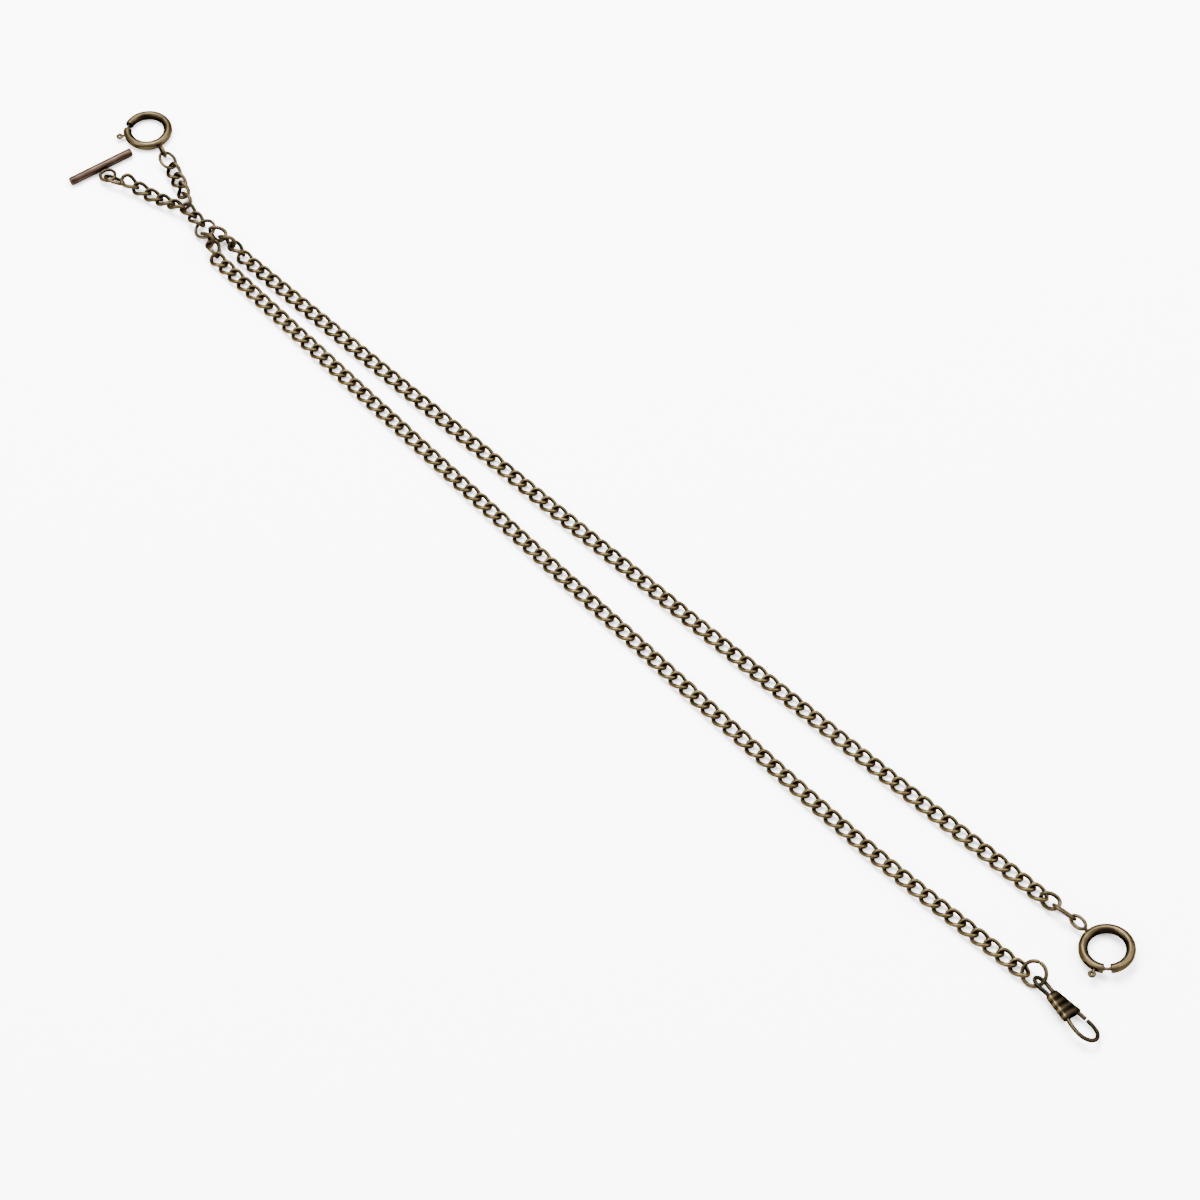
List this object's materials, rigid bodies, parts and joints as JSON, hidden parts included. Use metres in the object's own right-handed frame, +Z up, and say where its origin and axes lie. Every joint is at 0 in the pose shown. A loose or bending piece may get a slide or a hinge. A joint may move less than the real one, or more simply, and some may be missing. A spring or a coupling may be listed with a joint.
{
  "type": "double pocket watch chain",
  "caption": "Bronze pocket watch chain: two long curb chains and two short branches on one ring, with a T-bar, two spring rings and a watch hook.",
  "frame": {"origin": "on the table, under the middle of the whole chain as it is laid out", "axes": "+X along the two long chains, from the centre ring towards the watch hook and the second spring ring; +Y across, towards chain A; +Z up from the table"},
  "size_m": [0.387, 0.0354, 0.0047],
  "materials": {
    "bronze": "antique bronze plate, dark in the hollows and rubbed bright on the edges",
    "dark_bronze": "antique bronze plate, darker",
    "copper_bronze": "antique bronze plate worn to a redder copper tone",
    "spring_steel": "plain drawn spring wire"
  },
  "bodies": {
    "centre_ring": {"centre_ring": "dark_bronze"},
    "stem_link": {"stem_link": "bronze"},
    "junction_link": {"junction_link": "bronze"},
    "t_branch_link_5": {"t_branch_link_5": "bronze"},
    "t_branch_link_4": {"t_branch_link_4": "bronze"},
    "t_branch_link_3": {"t_branch_link_3": "bronze"},
    "t_branch_link_2": {"t_branch_link_2": "bronze"},
    "t_branch_link_1": {"t_branch_link_1": "bronze"},
    "t_connector": {"t_connector": "bronze"},
    "t_bar": {"t_bar": "copper_bronze", "t_bar_loop": "bronze"},
    "ring_branch_link_4": {"ring_branch_link_4": "bronze"},
    "ring_branch_link_3": {"ring_branch_link_3": "bronze"},
    "ring_branch_link_2": {"ring_branch_link_2": "bronze"},
    "ring_branch_link_1": {"ring_branch_link_1": "bronze"},
    "ring_1_connector": {"ring_1_connector": "bronze"},
    "spring_ring_1": {"spring_ring_1_case": "bronze", "spring_ring_1_eyelet": "bronze", "spring_ring_1_spring": "spring_steel"},
    "chain_a_link_1": {"chain_a_link_1": "bronze"},
    "chain_a_link_2": {"chain_a_link_2": "bronze"},
    "chain_a_link_3": {"chain_a_link_3": "bronze"},
    "chain_a_run_01": {"chain_a_run_01": "bronze"},
    "chain_a_run_02": {"chain_a_run_02": "bronze"},
    "chain_a_run_03": {"chain_a_run_03": "bronze"},
    "chain_a_run_04": {"chain_a_run_04": "bronze"},
    "chain_a_run_05": {"chain_a_run_05": "bronze"},
    "chain_a_run_06": {"chain_a_run_06": "bronze"},
    "chain_a_run_07": {"chain_a_run_07": "bronze"},
    "chain_a_run_08": {"chain_a_run_08": "bronze"},
    "chain_a_run_09": {"chain_a_run_09": "bronze"},
    "chain_a_run_10": {"chain_a_run_10": "bronze"},
    "chain_a_run_11": {"chain_a_run_11": "bronze"},
    "chain_a_run_12": {"chain_a_run_12": "bronze"},
    "chain_a_end_link": {"chain_a_end_link": "bronze"},
    "ring_2_connector": {"ring_2_connector": "bronze"},
    "spring_ring_2": {"spring_ring_2_case": "bronze", "spring_ring_2_eyelet": "bronze", "spring_ring_2_spring": "spring_steel"},
    "chain_b_link_1": {"chain_b_link_1": "bronze"},
    "chain_b_link_2": {"chain_b_link_2": "bronze"},
    "chain_b_run_01": {"chain_b_run_01": "bronze"},
    "chain_b_run_02": {"chain_b_run_02": "bronze"},
    "chain_b_run_03": {"chain_b_run_03": "bronze"},
    "chain_b_run_04": {"chain_b_run_04": "bronze"},
    "chain_b_run_05": {"chain_b_run_05": "bronze"},
    "chain_b_run_06": {"chain_b_run_06": "bronze"},
    "chain_b_run_07": {"chain_b_run_07": "bronze"},
    "chain_b_run_08": {"chain_b_run_08": "bronze"},
    "chain_b_run_09": {"chain_b_run_09": "bronze"},
    "chain_b_run_10": {"chain_b_run_10": "bronze"},
    "chain_b_run_11": {"chain_b_run_11": "bronze"},
    "chain_b_run_12": {"chain_b_run_12": "bronze"},
    "jump_ring": {"jump_ring": "bronze"},
    "watch_hook": {"hook_bail": "bronze", "hook_sleeve": "dark_bronze"},
    "spring_ring_1_bolt": {"spring_ring_1_bolt": "bronze"},
    "spring_ring_2_bolt": {"spring_ring_2_bolt": "bronze"},
    "hook_arm": {"hook_arm": "bronze"}
  },
  "joints": [
    {"name": "stem_link_fold", "type": "hinge", "parent": "centre_ring", "child": "stem_link", "pos_m": [-0.14893, -0.00105, 0.00168], "axis": [-0.1472, -0.9891, 0], "range_deg": [-20, 0]},
    {"name": "junction_link_sway", "type": "hinge", "parent": "stem_link", "child": "junction_link", "pos_m": [-0.15293, -0.00082, 0.00164], "axis": [0, 0, 1], "range_deg": [-18, 22]},
    {"name": "t_branch_link_5_fold", "type": "hinge", "parent": "junction_link", "child": "t_branch_link_5", "pos_m": [-0.15684, -0.00135, 0.00164], "axis": [0.3814, -0.9244, 0], "range_deg": [-14, 0]},
    {"name": "t_branch_link_4_fold", "type": "hinge", "parent": "t_branch_link_5", "child": "t_branch_link_4", "pos_m": [-0.16057, -0.00261, 0.00159], "axis": [0.264, -0.9645, 0], "range_deg": [-40, 0]},
    {"name": "t_branch_link_3_sway", "type": "hinge", "parent": "t_branch_link_4", "child": "t_branch_link_3", "pos_m": [-0.16439, -0.00372, 0.00139], "axis": [0, 0, 1], "range_deg": [0, 20]},
    {"name": "t_branch_link_2_fold", "type": "hinge", "parent": "t_branch_link_3", "child": "t_branch_link_2", "pos_m": [-0.16824, -0.00478, 0.00151], "axis": [0.2336, -0.9723, 0], "range_deg": [-45, 0]},
    {"name": "t_branch_link_1_sway", "type": "hinge", "parent": "t_branch_link_2", "child": "t_branch_link_1", "pos_m": [-0.17206, -0.0058, 0.00172], "axis": [0, 0, 1], "range_deg": [0, 15]},
    {"name": "t_connector_fold", "type": "hinge", "parent": "t_branch_link_1", "child": "t_connector", "pos_m": [-0.17607, -0.00737, 0.00177], "axis": [0.3938, -0.9192, 0], "range_deg": [-25, 0]},
    {"name": "t_bar_sway", "type": "hinge", "parent": "t_connector", "child": "t_bar", "pos_m": [-0.18038, -0.00833, 0.00133], "axis": [0, 0, 1], "range_deg": [0, 70]},
    {"name": "ring_branch_link_4_fold", "type": "hinge", "parent": "junction_link", "child": "ring_branch_link_4", "pos_m": [-0.15658, 0.00056, 0.00165], "axis": [-0.5641, -0.8257, 0], "range_deg": [-35, 0]},
    {"name": "ring_branch_link_3_fold", "type": "hinge", "parent": "ring_branch_link_4", "child": "ring_branch_link_3", "pos_m": [-0.15984, 0.002, 0.00225], "axis": [-0.2122, -0.9772, 0], "range_deg": [-20, 0]},
    {"name": "ring_branch_link_2_sway", "type": "hinge", "parent": "ring_branch_link_3", "child": "ring_branch_link_2", "pos_m": [-0.16355, 0.00315, 0.00156], "axis": [0, 0, -1], "range_deg": [0, 28]},
    {"name": "ring_branch_link_1_fold", "type": "hinge", "parent": "ring_branch_link_2", "child": "ring_branch_link_1", "pos_m": [-0.16736, 0.0049, 0.00153], "axis": [-0.3306, -0.9438, 0], "range_deg": [-30, 0]},
    {"name": "ring_1_connector_sway", "type": "hinge", "parent": "ring_branch_link_1", "child": "ring_1_connector", "pos_m": [-0.17116, 0.00627, 0.00158], "axis": [0, 0, -1], "range_deg": [0, 20]},
    {"name": "spring_ring_1_fold", "type": "hinge", "parent": "ring_1_connector", "child": "spring_ring_1", "pos_m": [-0.17594, 0.00842, 0.00158], "axis": [-0.2968, -0.9549, 0], "range_deg": [-22, 0]},
    {"name": "chain_a_link_1_fold", "type": "hinge", "parent": "centre_ring", "child": "chain_a_link_1", "pos_m": [-0.14458, -0.00034, 0.00168], "axis": [-0.3344, 0.9424, 0], "range_deg": [-20, 0]},
    {"name": "chain_a_link_2_sway", "type": "hinge", "parent": "chain_a_link_1", "child": "chain_a_link_2", "pos_m": [-0.14071, -0.00031, 0.00226], "axis": [0, 0, 1], "range_deg": [0, 13]},
    {"name": "chain_a_link_3_fold", "type": "hinge", "parent": "chain_a_link_2", "child": "chain_a_link_3", "pos_m": [-0.13675, -0.00031, 0.00191], "axis": [-0.0605, 0.9982, 0], "range_deg": [-8, 0]},
    {"name": "chain_a_run_01_sway", "type": "hinge", "parent": "chain_a_link_3", "child": "chain_a_run_01", "pos_m": [-0.13278, -0.00008, 0.00115], "axis": [0, 0, 1], "range_deg": [0, 20]},
    {"name": "chain_a_run_02_fold", "type": "hinge", "parent": "chain_a_run_01", "child": "chain_a_run_02", "pos_m": [-0.10894, 0.00008, 0.00115], "axis": [-0.0206, 0.9998, 0], "range_deg": [-18, 0]},
    {"name": "chain_a_run_03_sway", "type": "hinge", "parent": "chain_a_run_02", "child": "chain_a_run_03", "pos_m": [-0.08495, 0.00057, 0.00115], "axis": [0, 0, 1], "range_deg": [0, 18]},
    {"name": "chain_a_run_04_fold", "type": "hinge", "parent": "chain_a_run_03", "child": "chain_a_run_04", "pos_m": [-0.06095, 0.00106, 0.00115], "axis": [-0.0206, 0.9998, 0], "range_deg": [-18, 0]},
    {"name": "chain_a_run_05_sway", "type": "hinge", "parent": "chain_a_run_04", "child": "chain_a_run_05", "pos_m": [-0.03695, 0.00156, 0.00115], "axis": [0, 0, 1], "range_deg": [0, 18]},
    {"name": "chain_a_run_06_fold", "type": "hinge", "parent": "chain_a_run_05", "child": "chain_a_run_06", "pos_m": [-0.01295, 0.00209, 0.00115], "axis": [-0.0234, 0.9997, 0], "range_deg": [-18, 0]},
    {"name": "chain_a_run_07_sway", "type": "hinge", "parent": "chain_a_run_06", "child": "chain_a_run_07", "pos_m": [0.01504, 0.00278, 0.00115], "axis": [0, 0, 1], "range_deg": [0, 18]},
    {"name": "chain_a_run_08_fold", "type": "hinge", "parent": "chain_a_run_07", "child": "chain_a_run_08", "pos_m": [0.03903, 0.00339, 0.00115], "axis": [-0.0265, 0.9996, 0], "range_deg": [-18, 0]},
    {"name": "chain_a_run_09_sway", "type": "hinge", "parent": "chain_a_run_08", "child": "chain_a_run_09", "pos_m": [0.06303, 0.00405, 0.00115], "axis": [0, 0, 1], "range_deg": [0, 18]},
    {"name": "chain_a_run_10_fold", "type": "hinge", "parent": "chain_a_run_09", "child": "chain_a_run_10", "pos_m": [0.08702, 0.00479, 0.00115], "axis": [-0.0337, 0.9994, 0], "range_deg": [-18, 0]},
    {"name": "chain_a_run_11_sway", "type": "hinge", "parent": "chain_a_run_10", "child": "chain_a_run_11", "pos_m": [0.111, 0.00567, 0.00115], "axis": [0, 0, 1], "range_deg": [0, 18]},
    {"name": "chain_a_run_12_fold", "type": "hinge", "parent": "chain_a_run_11", "child": "chain_a_run_12", "pos_m": [0.13498, 0.00673, 0.00115], "axis": [-0.0447, 0.999, 0], "range_deg": [-18, 0]},
    {"name": "chain_a_end_link_sway", "type": "hinge", "parent": "chain_a_run_12", "child": "chain_a_end_link", "pos_m": [0.15874, 0.00787, 0.00115], "axis": [0, 0, 1], "range_deg": [0, 9]},
    {"name": "ring_2_connector_fold", "type": "hinge", "parent": "chain_a_end_link", "child": "ring_2_connector", "pos_m": [0.16268, 0.00797, 0.00206], "axis": [0.0017, 1, 0], "range_deg": [-18, 0]},
    {"name": "spring_ring_2_sway", "type": "hinge", "parent": "ring_2_connector", "child": "spring_ring_2", "pos_m": [0.16776, 0.00812, 0.00203], "axis": [0, 0, 1], "range_deg": [-13, 20]},
    {"name": "chain_b_link_1_fold", "type": "hinge", "parent": "centre_ring", "child": "chain_b_link_1", "pos_m": [-0.14477, -0.00336, 0.00168], "axis": [0.4205, 0.9073, 0], "range_deg": [-16, 0]},
    {"name": "chain_b_link_2_sway", "type": "hinge", "parent": "chain_b_link_1", "child": "chain_b_link_2", "pos_m": [-0.1412, -0.00355, 0.00201], "axis": [0, 0, -1], "range_deg": [0, 28]},
    {"name": "chain_b_run_01_fold", "type": "hinge", "parent": "chain_b_link_2", "child": "chain_b_run_01", "pos_m": [-0.13759, -0.00537, 0.00118], "axis": [0.1486, 0.9889, 0], "range_deg": [-8, 0]},
    {"name": "chain_b_run_02_sway", "type": "hinge", "parent": "chain_b_run_01", "child": "chain_b_run_02", "pos_m": [-0.1138, -0.00694, 0.00115], "axis": [0, 0, -1], "range_deg": [0, 18]},
    {"name": "chain_b_run_03_fold", "type": "hinge", "parent": "chain_b_run_02", "child": "chain_b_run_03", "pos_m": [-0.08588, -0.00792, 0.00115], "axis": [0.0342, 0.9994, 0], "range_deg": [-18, 0]},
    {"name": "chain_b_run_04_sway", "type": "hinge", "parent": "chain_b_run_03", "child": "chain_b_run_04", "pos_m": [-0.06194, -0.00872, 0.00115], "axis": [0, 0, -1], "range_deg": [0, 18]},
    {"name": "chain_b_run_05_fold", "type": "hinge", "parent": "chain_b_run_04", "child": "chain_b_run_05", "pos_m": [-0.03401, -0.00963, 0.00115], "axis": [0.032, 0.9995, 0], "range_deg": [-18, 0]},
    {"name": "chain_b_run_06_sway", "type": "hinge", "parent": "chain_b_run_05", "child": "chain_b_run_06", "pos_m": [-0.01008, -0.01038, 0.00115], "axis": [0, 0, -1], "range_deg": [0, 18]},
    {"name": "chain_b_run_07_fold", "type": "hinge", "parent": "chain_b_run_06", "child": "chain_b_run_07", "pos_m": [0.01785, -0.0112, 0.00115], "axis": [0.029, 0.9996, 0], "range_deg": [-18, 0]},
    {"name": "chain_b_run_08_sway", "type": "hinge", "parent": "chain_b_run_07", "child": "chain_b_run_08", "pos_m": [0.04179, -0.01189, 0.00115], "axis": [0, 0, -1], "range_deg": [0, 18]},
    {"name": "chain_b_run_09_fold", "type": "hinge", "parent": "chain_b_run_08", "child": "chain_b_run_09", "pos_m": [0.06573, -0.01248, 0.00115], "axis": [0.0214, 0.9998, 0], "range_deg": [-18, 0]},
    {"name": "chain_b_run_10_sway", "type": "hinge", "parent": "chain_b_run_09", "child": "chain_b_run_10", "pos_m": [0.09367, -0.013, 0.00115], "axis": [0, 0, -1], "range_deg": [0, 18]},
    {"name": "chain_b_run_11_fold", "type": "hinge", "parent": "chain_b_run_10", "child": "chain_b_run_11", "pos_m": [0.11761, -0.01308, 0.00115], "axis": [-0.0147, 0.9999, 0], "range_deg": [-18, 0]},
    {"name": "chain_b_run_12_sway", "type": "hinge", "parent": "chain_b_run_11", "child": "chain_b_run_12", "pos_m": [0.14554, -0.01223, 0.00115], "axis": [0, 0, -1], "range_deg": [0, 18]},
    {"name": "jump_ring_sway", "type": "hinge", "parent": "chain_b_run_12", "child": "jump_ring", "pos_m": [0.16905, -0.01089, 0.00115], "axis": [0, 0, 1], "range_deg": [-60, 8]},
    {"name": "watch_hook_sway", "type": "hinge", "parent": "jump_ring", "child": "watch_hook", "pos_m": [0.17309, -0.01091, 0.0018], "axis": [0, 0, 1], "range_deg": [-15, 15]},
    {"name": "spring_ring_1_bolt_draw", "type": "hinge", "parent": "spring_ring_1", "child": "spring_ring_1_bolt", "pos_m": [-0.18644, 0.01062, 0.00129], "axis": [0, 0, -1], "range_deg": [-23, 0], "stiffness_Nm_per_rad": 0.002, "springref_deg": 11.46, "deforming": ["spring_ring_1_spring"]},
    {"name": "spring_ring_2_bolt_draw", "type": "hinge", "parent": "spring_ring_2", "child": "spring_ring_2_bolt", "pos_m": [0.17906, 0.00782, 0.00211], "axis": [-0.1392, 0, 0.9903], "range_deg": [-23, 0], "stiffness_Nm_per_rad": 0.002, "springref_deg": 11.46, "deforming": ["spring_ring_2_spring"]},
    {"name": "hook_arm_spring", "type": "hinge", "parent": "watch_hook", "child": "hook_arm", "pos_m": [0.18329, -0.01301, 0.00243], "axis": [0.0194, 0.3419, 0.9395], "range_deg": [-10, 0], "stiffness_Nm_per_rad": 0.01, "springref_deg": 5.73}
  ]
}
